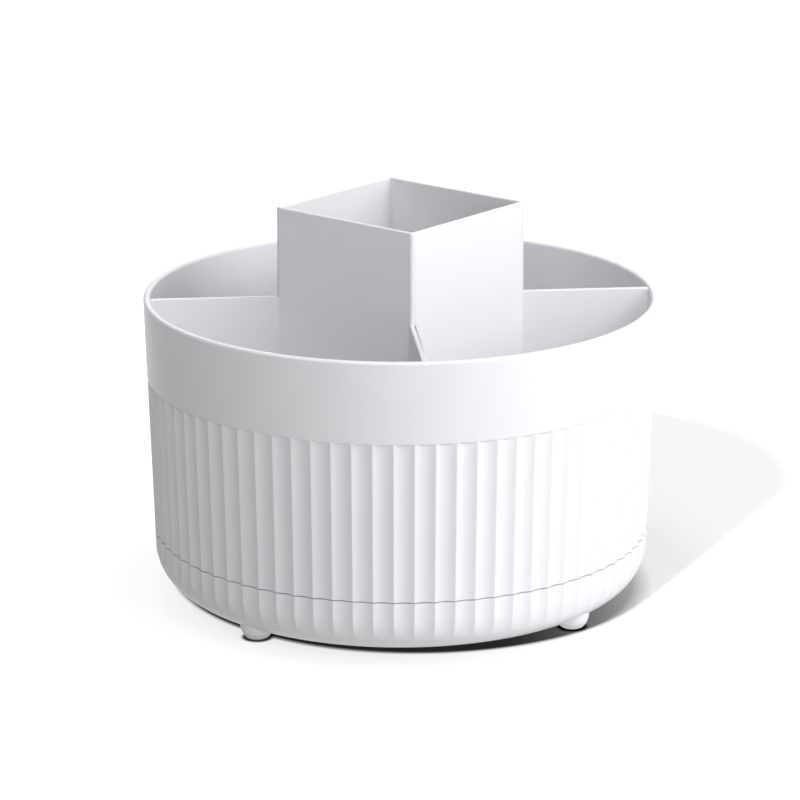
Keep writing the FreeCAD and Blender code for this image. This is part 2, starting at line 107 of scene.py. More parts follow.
class Graph:
    """Node tree of one material or world, built node by node."""

    def __init__(self, tree: bpy.types.NodeTree) -> None:
        """Start from an empty tree."""
        self.tree = tree
        tree.nodes.clear()

    def add(self, kind: str, settings: dict | None = None, inputs: dict | None = None,
            output: int | str = 0) -> Wire:
        """Add a node.

        Args:
            kind: the node's type name.
            settings: attributes set first, such as an operation; "stops" fills a colour ramp.
            inputs: values or wires by socket name or number.
            output: the output socket that is returned.

        Returns:
            The chosen output as a wire.
        """
        node = self.tree.nodes.new(kind)
        for name, value in (settings or {}).items():
            if name == "stops":
                self._fill_ramp(node.color_ramp, value)
            else:
                setattr(node, name, value)
        for name, value in (inputs or {}).items():
            if isinstance(value, Wire):
                self.tree.links.new(value.socket, node.inputs[name])
            else:
                node.inputs[name].default_value = value
        return Wire(self, node.outputs[output]) if node.outputs else None

    @staticmethod
    def _fill_ramp(ramp: bpy.types.ColorRamp, stops: list[tuple[float, tuple]]) -> None:
        """Set a ramp's stops.

        Args:
            ramp: the ramp.
            stops: pairs of position and colour.
        """
        while len(ramp.elements) < len(stops):
            ramp.elements.new(1.0)
        for element, (position, colour) in zip(ramp.elements, stops):
            element.position = position
            element.color = colour

    def object_point(self) -> Wire:
        """Object coordinates, in metres."""
        return self.add("ShaderNodeTexCoord", output="Object")

    def noise(self, point: Wire, size_mm: float, detail: float = 2.0) -> Wire:
        """Fractal noise with features of about a size in millimetres, 0 to 1."""
        inputs = {"Vector": point, "Scale": 1.0 / (size_mm * MM), "Detail": detail}
        return self.add("ShaderNodeTexNoise", {}, inputs, "Fac")

    def least(self, first: Wire, second: Wire | float) -> Wire:
        """Smaller of two values."""
        return self.add("ShaderNodeMath", {"operation": "MINIMUM"}, {0: first, 1: second})

    def distance(self, point: Wire, centre: tuple[float, float, float]) -> Wire:
        """Distance of a point to a centre, in metres."""
        return self.add("ShaderNodeVectorMath", {"operation": "DISTANCE"}, {0: point, 1: centre}, "Value")

    def along(self, point: Wire, azimuth: float) -> Wire:
        """How far a point lies from the axis towards an azimuth in degrees, in metres."""
        way = (math.cos(math.radians(azimuth)), math.sin(math.radians(azimuth)), 0.0)
        return self.add("ShaderNodeVectorMath", {"operation": "DOT_PRODUCT"}, {0: point, 1: way}, "Value")

    def spread(self, value: Wire, low: float, high: float, start: float = 0.3, end: float = 0.7) -> Wire:
        """Stretch a value from start..end to low..high, clamped."""
        inputs = {"Value": value, "From Min": start, "From Max": end, "To Min": low, "To Max": high}
        return self.add("ShaderNodeMapRange", {}, inputs)

    def blend(self, share: Wire, first: tuple, second: tuple) -> Wire:
        """Mix two colours by a share."""
        inputs = {0: share, 6: (*first, 1.0), 7: (*second, 1.0)}
        return self.add("ShaderNodeMix", {"data_type": "RGBA"}, inputs, 2)

    def bump(self, height: Wire, depth_mm: float, strength: float = 1.0, normal: Wire | None = None) -> Wire:
        """Add a bump.

        Args:
            height: height, 0 to 1.
            depth_mm: depth in millimetres that the height stands for.
            strength: share of the bump that shows.
            normal: another bump under this one.

        Returns:
            The normal.
        """
        inputs = {"Height": height, "Distance": depth_mm * MM, "Strength": strength}
        if normal:
            inputs["Normal"] = normal
        return self.add("ShaderNodeBump", {}, inputs, "Normal")


def material_of(name: str, sockets: dict[str, float],
                build: Callable[[Graph], dict[str, Wire]]) -> bpy.types.Material:
    """Make a material round one Principled shader.

    Args:
        name: the material's name.
        sockets: constants by socket name.
        build: called with the graph; returns links by socket name.

    Returns:
        The material.
    """
    material = bpy.data.materials.new(name)
    material.use_nodes = True
    graph = Graph(material.node_tree)
    inputs = {**sockets, **build(graph)}
    shader = graph.add("ShaderNodeBsdfPrincipled", {}, inputs, "BSDF")
    graph.add("ShaderNodeOutputMaterial", {}, {"Surface": shader})
    return material


@dataclass(frozen=True)
class MouldedPlastic:
    """Injection-moulded plastic: faint flow clouds, a fine tool texture and slow waves in its gloss."""

    name: str
    colour: tuple[float, float, float]
    cloud: float = 0.004
    cloud_mm: float = 22.0
    roughness: float = 0.3
    roughness_spread: float = 0.03
    patch_mm: float = 6.0
    grain_share: float = 0.3
    grain_mm: float = 0.35
    grain_depth_mm: float = 0.0015
    wave_mm: float = 14.0
    wave_depth_mm: float = 0.015
    specular: float = 0.2
    refraction: float = 1.49

    def make(self) -> bpy.types.Material:
        """Make the material with this finish."""
        def links(graph: Graph) -> dict[str, Wire]:
            """Colour clouds, gloss patches and two scales of bump."""
            point = graph.object_point()
            pale = tuple(min(1.0, c + self.cloud) for c in self.colour)
            deep = tuple(c - self.cloud for c in self.colour)
            cloud = graph.spread(graph.noise(point, self.cloud_mm, 3.0), 0.0, 1.0)
            patch = graph.noise(point, self.patch_mm, 4.0)
            grain = graph.noise(point, self.grain_mm, 2.0)
            wave = graph.noise(point, self.wave_mm, 1.0)
            slow = graph.bump(wave, self.wave_depth_mm)
            low = self.roughness - self.roughness_spread / 2
            high = self.roughness + self.roughness_spread / 2
            return {
                "Base Color": graph.blend(cloud, deep, pale),
                "Roughness": graph.spread(patch + (grain - 0.5) * self.grain_share, low, high),
                "Normal": graph.bump(grain, self.grain_depth_mm, normal=slow),
            }
        return material_of(self.name, {"Specular IOR Level": self.specular, "IOR": self.refraction}, links)


@dataclass(frozen=True)
class TurnedSteel:
    """Bright turned or rolled steel: fine rings about the axis, and a little unevenness in the gloss."""

    name: str
    colour: tuple[float, float, float]
    dull: float = 0.86
    gloss: tuple[float, float] = (0.21, 0.38)
    patch_mm: float = 3.0
    ring_mm: float = 0.25
    ring_share: float = 0.4
    ring_depth_mm: float = 0.01

    def make(self) -> bpy.types.Material:
        """Make the material with this finish."""
        def links(graph: Graph) -> dict[str, Wire]:
            """Rings from the distance to the axis, with noise in colour and gloss."""
            point = graph.object_point()
            settings = {"wave_type": "RINGS", "rings_direction": "Z", "wave_profile": "SIN"}
            inputs = {"Vector": point, "Scale": WAVE_SCALE / (self.ring_mm * MM), "Distortion": 1.2,
                      "Detail": 2.0, "Detail Scale": 2.0}
            rings = graph.add("ShaderNodeTexWave", settings, inputs, "Fac")
            patch = graph.noise(point, self.patch_mm, 5.0)
            darker = tuple(c * self.dull for c in self.colour)
            uneven = patch * (1.0 - self.ring_share) + rings * self.ring_share
            return {
                "Base Color": graph.blend(graph.spread(patch, 0.0, 1.0), darker, self.colour),
                "Roughness": graph.spread(uneven, *self.gloss),
                "Normal": graph.bump(rings, self.ring_depth_mm),
            }
        return material_of(self.name, {"Metallic": 1.0}, links)


@dataclass(frozen=True)
class PolishedSteel:
    """Hardened and polished ball: a mirror with very light wear."""

    name: str
    colour: tuple[float, float, float] = (0.75, 0.75, 0.76)
    dull: float = 0.92
    gloss: tuple[float, float] = (0.05, 0.14)
    wear_mm: float = 0.8
    wear_depth_mm: float = 0.001

    def make(self) -> bpy.types.Material:
        """Make the material with this finish."""
        def links(graph: Graph) -> dict[str, Wire]:
            """Light wear in gloss and colour."""
            point = graph.object_point()
            wear = graph.noise(point, self.wear_mm, 6.0)
            worn = tuple(c * self.dull for c in self.colour)
            return {
                "Base Color": graph.blend(graph.spread(wear, 0.0, 1.0), worn, self.colour),
                "Roughness": graph.spread(wear, *self.gloss),
                "Normal": graph.bump(wear, self.wear_depth_mm),
            }
        return material_of(self.name, {"Metallic": 1.0}, links)


@dataclass(frozen=True)
class SoftRubber:
    """Milky elastomer: matte, with a dusty bloom and a fine grain."""

    name: str
    colour: tuple[float, float, float] = (0.8, 0.8, 0.79)
    dull: float = 0.94
    gloss: tuple[float, float] = (0.5, 0.68)
    bloom_mm: float = 2.5
    grain_mm: float = 0.25
    grain_depth_mm: float = 0.012
    specular: float = 0.4

    def make(self) -> bpy.types.Material:
        """Make the material with this finish."""
        def links(graph: Graph) -> dict[str, Wire]:
            """Bloom in colour, grain in gloss and bump."""
            point = graph.object_point()
            bloom = graph.spread(graph.noise(point, self.bloom_mm, 4.0), 0.0, 1.0)
            grain = graph.noise(point, self.grain_mm, 3.0)
            dusty = tuple(c * self.dull for c in self.colour)
            return {
                "Base Color": graph.blend(bloom, dusty, self.colour),
                "Roughness": graph.spread(grain, *self.gloss),
                "Normal": graph.bump(grain, self.grain_depth_mm),
            }
        return material_of(self.name, {"Specular IOR Level": self.specular}, links)


@dataclass
class Skin:
    """Closed surfaces gathered as arrays, which become one mesh.

    A surface is a grid of rings: row i, column j is a point, columns close round, and rows either close too
    or end in a pole at each end.
    """

    points: list[np.ndarray] = field(default_factory=list)
    faces: list[np.ndarray] = field(default_factory=list)
    count: int = 0

    def add_rings(self, rings: np.ndarray, closed: bool = False) -> None:
        """Take in a grid of rings.

        Each quad joins (i, j), (i, j+1), (i+1, j+1) and (i+1, j). An open grid gets a fan to the mean point
        of its first and of its last ring. Faces are turned outwards by the sign of the enclosed volume,
        which is the sum of each triangle's scalar triple product over six.

        Args:
            rings: array of rows, columns and xyz, in millimetres.
            closed: whether the last row joins the first.
        """
        rows, columns = rings.shape[:2]
        index = np.arange(rows * columns).reshape(rows, columns)
        lower = index if closed else index[:-1]
        upper = np.roll(index, -1, axis=0) if closed else index[1:]
        beside = np.roll(lower, -1, axis=1)
        above = np.roll(upper, -1, axis=1)
        quads = np.stack([lower, beside, above, upper], axis=-1).reshape(-1, 4)
        triangles = np.concatenate([quads[:, [0, 1, 2]], quads[:, [0, 2, 3]]])
        points = rings.reshape(-1, 3)
        if not closed:
            start, end = rows * columns, rows * columns + 1
            points = np.vstack([points, rings[0].mean(axis=0), rings[-1].mean(axis=0)])
            first, last = index[0], index[-1]
            caps = np.concatenate([
                np.stack([np.full(columns, start), np.roll(first, -1), first], axis=-1),
                np.stack([np.full(columns, end), last, np.roll(last, -1)], axis=-1),
            ])
            triangles = np.concatenate([triangles, caps])
        a, b, c = (points[triangles[:, k]] for k in range(3))
        if np.einsum("ij,ij->i", a, np.cross(b, c)).sum() < 0:
            triangles = triangles[:, ::-1]
        edge1, edge2 = (points[triangles[:, k]] - points[triangles[:, 0]] for k in (1, 2))
        has_area = np.linalg.norm(np.cross(edge1, edge2), axis=1) > 1e-9
        self.points.append(points)
        self.faces.append(triangles[has_area] + self.count)
        self.count += len(points)

    def build(self, name: str) -> bpy.types.Object:
        """Make the object.

        Points become metres. Each vertex normal is the sum of its faces' normals weighted by their areas, so
        large faces stay flat and only the narrow roundings between them turn the light.

        Args:
            name: the object's name.

        Returns:
            The object, at the origin.
        """
        points = np.vstack(self.points) * MM
        faces = np.concatenate(self.faces)
        mesh = bpy.data.meshes.new(name)
        mesh.vertices.add(len(points))
        mesh.vertices.foreach_set("co", points.astype(np.float32).ravel())
        mesh.loops.add(faces.size)
        mesh.loops.foreach_set("vertex_index", faces.astype(np.int32).ravel())
        mesh.polygons.add(len(faces))
        mesh.polygons.foreach_set("loop_start", np.arange(0, faces.size, 3, dtype=np.int32))
        mesh.update(calc_edges=True)
        mesh.shade_smooth()
        a, b, c = (points[faces[:, k]] for k in range(3))
        weighted = np.cross(b - a, c - a)
        normals = np.zeros_like(points)
        for corner in range(3):
            np.add.at(normals, faces[:, corner], weighted)
        normals /= np.maximum(np.linalg.norm(normals, axis=1, keepdims=True), 1e-20)
        mesh.normals_split_custom_set_from_vertices(normals)
        thing = bpy.data.objects.new(name, mesh)
        bpy.context.scene.collection.objects.link(thing)
        return thing


def rounded_profile(corners: list[tuple[float, float, float]], steps: int = 4) -> np.ndarray:
    """Polyline through corners, some of them rounded.

    A corner of turning angle t and radius r is replaced by an arc that starts r*tan(t/2) before it and ends
    as far after it.

    Args:
        corners: x, y and rounding radius of each corner; the first and last are never rounded.
        steps: segments of an arc.

    Returns:
        Array of points.
    """
    path = []
    for k, (x, y, radius) in enumerate(corners):
        here = np.array([x, y])
        if radius <= 0 or k in (0, len(corners) - 1):
            path.append(here[None])
            continue
        before = here - np.array(corners[k - 1][:2])
        after = np.array(corners[k + 1][:2]) - here
        before /= np.linalg.norm(before)
        after /= np.linalg.norm(after)
        turn = math.acos(np.clip(before @ after, -1, 1))
        reach = radius * math.tan(turn / 2)
        side = np.sign(before[0] * after[1] - before[1] * after[0])
        normal = side * np.array([-before[1], before[0]])
        centre = here - reach * before + radius * normal
        angles = np.linspace(0, turn, steps + 1)[:, None]
        path.append(centre - radius * normal * np.cos(angles) + radius * before * np.sin(angles))
    return np.vstack(path)


def lathe(profile: np.ndarray, columns: int) -> np.ndarray:
    """Turn a profile about Z: x = r cos a, y = r sin a, z = z, with a round the circle.

    Args:
        profile: array of radius and height.
        columns: points of a ring.

    Returns:
        Array of rings, columns and xyz.
    """
    turn = np.linspace(0, 2 * np.pi, columns, endpoint=False)
    radius, height = profile[:, :1], profile[:, 1:]
    level = np.broadcast_to(height, (len(profile), columns))
    return np.stack([radius * np.cos(turn), radius * np.sin(turn), level], axis=-1)


def rotated(points: np.ndarray, degrees: float) -> np.ndarray:
    """Turn points about Z.

    Args:
        points: array whose last axis is xyz.
        degrees: angle.

    Returns:
        The turned points.
    """
    turn = math.radians(degrees)
    matrix = np.array([[math.cos(turn), -math.sin(turn), 0], [math.sin(turn), math.cos(turn), 0], [0, 0, 1]])
    return points @ matrix.T


def bar_rings(start: float, end: float, width: float, low: float, high: float, edge: float) -> np.ndarray:
    """Rings of a bar along X: a rectangle with rounded corners, carried from start to end.

    Args:
        start: where the bar begins.
        end: where it ends.
        width: its width.
        low: height of its underside.
        high: height of its top.
        edge: radius of its corners.

    Returns:
        Array of two rings.
    """
    half = width / 2
    section = rounded_profile([
        (0, low, 0), (half, low, edge), (half, high, edge), (-half, high, edge), (-half, low, edge),
        (0, low, 0)], 2)[:-1]
    stations = np.array([start, end])[:, None]
    across = np.broadcast_to(section[:, 0], (2, len(section)))
    level = np.broadcast_to(section[:, 1], (2, len(section)))
    return np.stack([np.broadcast_to(stations, across.shape), across, level], axis=-1)


def square_ring(half: float, corner: float, level: float) -> np.ndarray:
    """Ring of a square with rounded corners, 5 points to a corner.

    Args:
        half: half the square's width.
        corner: radius of its corners.
        level: height of the ring.

    Returns:
        Array of 20 points.
    """
    angles = np.linspace(-np.pi / 4, np.pi / 4, 5)
    centre = (half - corner) * math.sqrt(2)
    quarter = np.stack([centre + corner * np.cos(angles), corner * np.sin(angles),
                        np.full(5, level)], axis=-1)
    return np.vstack([rotated(quarter, 45 + 90 * k) for k in range(4)])


def settle(thing: bpy.types.Object, body: Body, slot: Slot, material: bpy.types.Material,
           *nodes: str) -> None:
    """Give a new piece what it needs beside its mesh.

    Args:
        thing: the piece.
        body: the body that it rides on.
        slot: its material slot; not used.
        material: its finish.
        nodes: the nodes that it stands for.
    """
    thing.data.materials.clear()
    thing.data.materials.append(material)
    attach(thing, body.value)
    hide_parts(*nodes)
    log.info("%s: %d triangles on %s", thing.name, len(thing.data.polygons), body.value)


@dataclass(frozen=True)
class Ribs:
    """Straight ribs that run out from the axis, in one or more spans, on a floor or under it."""

    spans: tuple[tuple[float, float], ...]
    low: float
    high: float
    count: int = 8
    width: float = 1.5
    edge: float = 0.25

    def add_to(self, skin: Skin) -> None:
        """Add every rib to a skin."""
        for number in range(self.count):
            for start, end in self.spans:
                bar = bar_rings(start, end, self.width, self.low, self.high, self.edge)
                skin.add_rings(rotated(bar, number * 360 / self.count))


@dataclass(frozen=True)
class Wall:
    """The leaning fluted wall that drum and base share."""

    rim_radius: float = 75.0
    rim_height: float = 88.6
    draft: float = math.tan(math.radians(1.6))
    flutes: int = 80
    depth: float = 0.6
    land: float = 0.15
    seam: float = 18.5
    facets: int = 9
    end_row: float = 0.12  # distance of the row that keeps a flute's end sharp

    def radius(self, height: np.ndarray | float) -> np.ndarray | float:
        """Radius over the ridges at a height."""
        return self.rim_radius - (self.rim_height - height) * self.draft

    @property
    def half_chord(self) -> float:
        """Half the width of a flute between its ridges."""
        return self.radius(self.seam) * math.sin(math.pi / self.flutes) - self.land / 2

    @property
    def cutter(self) -> float:
        """Radius of the arc across a flute."""
        return (self.half_chord ** 2 + self.depth ** 2) / (2 * self.depth)

    def rings(self, radii: np.ndarray, heights: np.ndarray, cut: np.ndarray) -> np.ndarray:
        """Rings with flutes of a given depth.

        Across one flute, at t from -1 to 1, the point lies x = t*w to the side of the flute's middle line.
        On a plain ring it is sqrt(r^2 - x^2) from the axis; at the bottom of a full flute it is
        sqrt(r^2 - w^2) - (sqrt(c^2 - x^2) - sqrt(c^2 - w^2)), where c is the cutter's radius and w the
        flute's half-width. A shallower flute lies between the two in proportion to its depth.

        Args:
            radii: radius of each ring over its ridges.
            heights: height of each ring.
            cut: depth of the flutes in each ring, 0 for a plain ring.

        Returns:
            Array of rings, columns and xyz.
        """
        radius = radii[:, None]
        width = self.half_chord * np.minimum(1.0, radius / self.radius(self.seam))
        side = np.linspace(-1, 1, self.facets + 1) * width
        plain = np.sqrt(radius ** 2 - side ** 2)
        dip = np.sqrt(self.cutter ** 2 - side ** 2) - np.sqrt(self.cutter ** 2 - width ** 2)
        full = np.sqrt(radius ** 2 - width ** 2) - dip
        reach = plain + (full - plain) * np.clip(cut[:, None] / self.depth, 0.0, 1.0)
        middle = np.arange(self.flutes) * 2 * np.pi / self.flutes
        cos, sin = np.cos(middle)[None, :, None], np.sin(middle)[None, :, None]
        x = (reach[:, None] * cos - side[:, None] * sin).reshape(len(radii), -1)
        y = (reach[:, None] * sin + side[:, None] * cos).reshape(len(radii), -1)
        z = np.broadcast_to(heights[:, None], x.shape)
        return np.stack([x, y, z], axis=-1)


WALL = Wall()


@dataclass
class Drum:
    """The turning pot: band, flutes, rim, inside, and what carries it on the race and pivot."""

    finish: bpy.types.Material
    wall_thickness: float = 2.0
    floor_low: float = 18.9
    edge_low: float = 18.78
    floor_high: float = 21.3
    rim_round: float = 0.8
    inner_round: float = 3.0
    flute_top: float = 65.2
    spigot: tuple[float, float] = (7.0, 6.9)
    screw_bore: tuple[float, float] = (2.05, 17.7)
    seat_levels: tuple[float, float] = (13.6, 14.9)
    skirt: tuple[float, float, float] = (68.64, 70.24, 14.9)
    rib_height: float = 2.5

    def outline(self) -> tuple[np.ndarray, np.ndarray]:
        """Closed-up profile from the bore's end, round under the floor, up the wall and back to the axis.

        Returns:
            The profile's points and the depth that the flutes have at each.
        """
        rim = WALL.rim_height
        rib = RACE_STEPS
        lip, seat = self.seat_levels
        low, edge = self.floor_low, self.edge_low
        under = [
            (0.0, self.screw_bore[1], 0), (self.screw_bore[0], self.screw_bore[1], 0),
            (self.screw_bore[0], self.spigot[1], 0.3), (self.spigot[0], self.spigot[1], 0.4),
            (self.spigot[0], low, 0.8), (rib[0], low, 0.4), (rib[0], lip, 0.3), (rib[1], lip, 0.3),
            (rib[1], seat, 0.1), (rib[2], seat, 0.2), (rib[2], low, 0.4), (rib[3], low, 0.4),
            (rib[3], seat, 0.2), (rib[4], seat, 0.1), (rib[4], lip, 0.3), (rib[5], lip, 0.3),
            (rib[5], low, 0.4), (self.skirt[0], low, 0.4), (self.skirt[0], self.skirt[2], 0.3),
            (self.skirt[1], self.skirt[2], 0.3), (self.skirt[1], edge, 0.3),
            (WALL.radius(edge), edge, 0),
        ]
        inside = self.wall_thickness
        top = rounded_profile([
            (WALL.radius(self.flute_top), self.flute_top, 0), (WALL.radius(rim), rim, self.rim_round),
            (WALL.radius(rim) - inside, rim, self.rim_round),
            (WALL.radius(self.floor_high) - inside, self.floor_high, self.inner_round),
            (0.0, self.floor_high, 0),
        ], 6)[:-1]
        bottom = rounded_profile(under, 3)[1:]
        ends = (edge + WALL.end_row, self.flute_top - WALL.end_row)
        flutes = np.array([[WALL.radius(level), level] for level in ends])
        profile = np.vstack([bottom, flutes, top])
        cut = np.zeros(len(profile))
        cut[len(bottom) - 1:len(bottom) + 2] = WALL.depth
        return profile, cut

    def build(self) -> None:
        """Make the drum: the turned outline with its flutes, ribs under the floor, and a pad on it."""
        profile, cut = self.outline()
        skin = Skin()
        skin.add_rings(WALL.rings(profile[:, 0], profile[:, 1], cut))
        spans = ((self.spigot[0] - SINK, RACE_STEPS[0] + SINK), (RACE_STEPS[5] - SINK, self.skirt[0] + SINK))
        Ribs(spans, self.floor_low - self.rib_height, self.floor_low + SINK).add_to(skin)
        skin.add_rings(Pad().rings(self.floor_high))
        settle(skin.build("drum"), Body.DRUM, Slot.SHELL, self.finish, "drum_shell")


@dataclass(frozen=True)
class Pad:
    """Square pad on the drum's floor that centres the tube."""

    half: float = 24.78
    height: float = 1.5
    corner: float = 0.5
    edge: float = 0.3

    def rings(self, floor: float) -> np.ndarray:
        """Rings of a rounded square, up its side and over its rounded top edge.

        Args:
            floor: height of the floor that the pad stands in.

        Returns:
            Array of rings, columns and xyz.
        """
        angles = np.linspace(0, np.pi / 2, 4)
        levels = np.concatenate([[floor - SINK], floor + self.height - self.edge * (1 - np.sin(angles))])
        inset = np.concatenate([[0.0], self.edge * (1 - np.cos(angles))])
        return np.stack([square_ring(self.half - i, self.corner, z) for i, z in zip(inset, levels)])


@dataclass(frozen=True)
class FootDome:
    """The rounded bump that a foot pad and the boss over it make together."""

    circle: float = 63.98
    radius: float = 5.0
    flat: float = 2.2
    rise: float = 5.2
    columns: int = 48
    end_row: float = 0.03  # distance of the row that keeps the light even where pad and boss meet

    def half(self, level: np.ndarray | float) -> np.ndarray | float:
        """Radius at a level: flat + (radius - flat) * sqrt(1 - (1 - level / rise)^2), a quarter ellipse."""
        share = 1 - np.minimum(level / self.rise, 1)
        return self.flat + (self.radius - self.flat) * np.sqrt(1 - share ** 2)


FOOT = FootDome()


@dataclass
class Base:
    """The still dish under the seam: fluted wall that fades on the rounded edge, plinth, hub and ribs."""

    finish: bpy.types.Material
    under: float = 2.0
    floor: float = 4.2
    wall_thickness: float = 2.2
    edge_round: float = 12.0
    fade_round: float = 16.0
    hub_bore: float = 9.07
    hub_roof: float = 7.2
    recess: float = 12.0
    hub: tuple[float, float] = (15.0, 12.2)
    seat_levels: tuple[float, float] = (7.5, 6.2)
    boss_height: float = 5.0
    rib_height: float = 2.5
    rib_end: float = 65.5

    def outline(self) -> tuple[np.ndarray, np.ndarray]:
        """Closed profile from the hub's bore out along the underside, up the wall and back over the inside.

        Where the lower edge rounds away, the flutes' bottoms follow a wider arc, so their depth is the
        wall's minus the difference of the two arcs' setbacks: r - sqrt(r^2 - y^2) for a drop y below the
        arcs' start.

        Returns:
            The profile's points and the depth that the flutes have at each.
        """
        wall = WALL
        foot = wall.radius(self.under)
        top = wall.radius(wall.seam)
        outside = rounded_profile([
            (self.hub_bore, self.hub_roof, 0), (self.recess, self.hub_roof, 0.4),
            (self.recess, self.under, 0.5), (foot, self.under, self.edge_round), (top, wall.seam, 0),
        ], 1)
        # The large lower arc is resampled, denser where the flutes fade.
        heel, shoulder = outside[-3], outside[-2]
        centre = np.array([heel[0], self.under + self.edge_round])
        shoulder_angle = math.atan2(shoulder[1] - centre[1], shoulder[0] - centre[0])
        share = np.linspace(0, 1, 19)
        arc_angles = -np.pi / 2 + (shoulder_angle + np.pi / 2) * share
        arc = centre + self.edge_round * np.stack([np.cos(arc_angles), np.sin(arc_angles)], axis=-1)
        below_seam = wall.seam - wall.end_row
        near_top = np.array([[wall.radius(below_seam), below_seam]])
        rib = RACE_STEPS
        lip, seat = self.seat_levels
        inner = top - self.wall_thickness
        inner_foot = wall.radius(self.floor) - self.wall_thickness
        inside = rounded_profile([
            (top, wall.seam, 0), (inner, wall.seam, 0.3),
            (inner_foot, self.floor, self.edge_round - self.wall_thickness),
            (rib[5], self.floor, 0.3), (rib[5], lip, 0.3), (rib[4], lip, 0.3), (rib[4], seat, 0.1),
            (rib[3], seat, 0.2), (rib[3], self.floor, 0.3), (rib[2], self.floor, 0.3), (rib[2], seat, 0.2),
            (rib[1], seat, 0.1), (rib[1], lip, 0.3), (rib[0], lip, 0.3), (rib[0], self.floor, 0.3),
            (self.hub[0], self.floor, 0.6), (self.hub[0], self.hub[1], 0.4),
            (self.hub_bore, self.hub[1], 0),
        ], 3)
        profile = np.vstack([outside[:-3], arc, near_top, inside])
        first = len(outside) - 3
        drop = np.maximum(centre[1] - arc[:, 1], 0.0)
        setback = (self.edge_round - np.sqrt(np.maximum(self.edge_round ** 2 - drop ** 2, 0))) - (
            self.fade_round - np.sqrt(self.fade_round ** 2 - drop ** 2))
        cut = np.zeros(len(profile))
        cut[first:first + len(arc)] = np.maximum(wall.depth - setback, 0.0)
        cut[first + len(arc):first + len(arc) + 2] = wall.depth
        return profile, cut

    def build(self) -> None:
        """Make the base: the turned outline with its flutes, a boss over each foot, and floor ribs."""
        profile, cut = self.outline()
        skin = Skin()
        skin.add_rings(WALL.rings(profile[:, 0], profile[:, 1], cut), closed=True)
        levels = np.linspace(self.under, self.under + self.boss_height, 12)
        levels = np.insert(levels, 1, self.under + FOOT.end_row)
        side = np.column_stack([FOOT.half(levels), levels])
        boss = lathe(np.vstack([[POLE, levels[0]], side, [POLE, levels[-1]]]), FOOT.columns)
        for number in range(4):
            skin.add_rings(rotated(boss + np.array([FOOT.circle, 0, 0]), number * 90))
        spans = ((self.hub[0] - SINK, RACE_STEPS[0] + SINK), (RACE_STEPS[5] - SINK, self.rib_end))
        Ribs(spans, self.floor - SINK, self.floor + self.rib_height).add_to(skin)
        settle(skin.build("base"), Body.BASE, Slot.SHELL, self.finish, "base_dish")


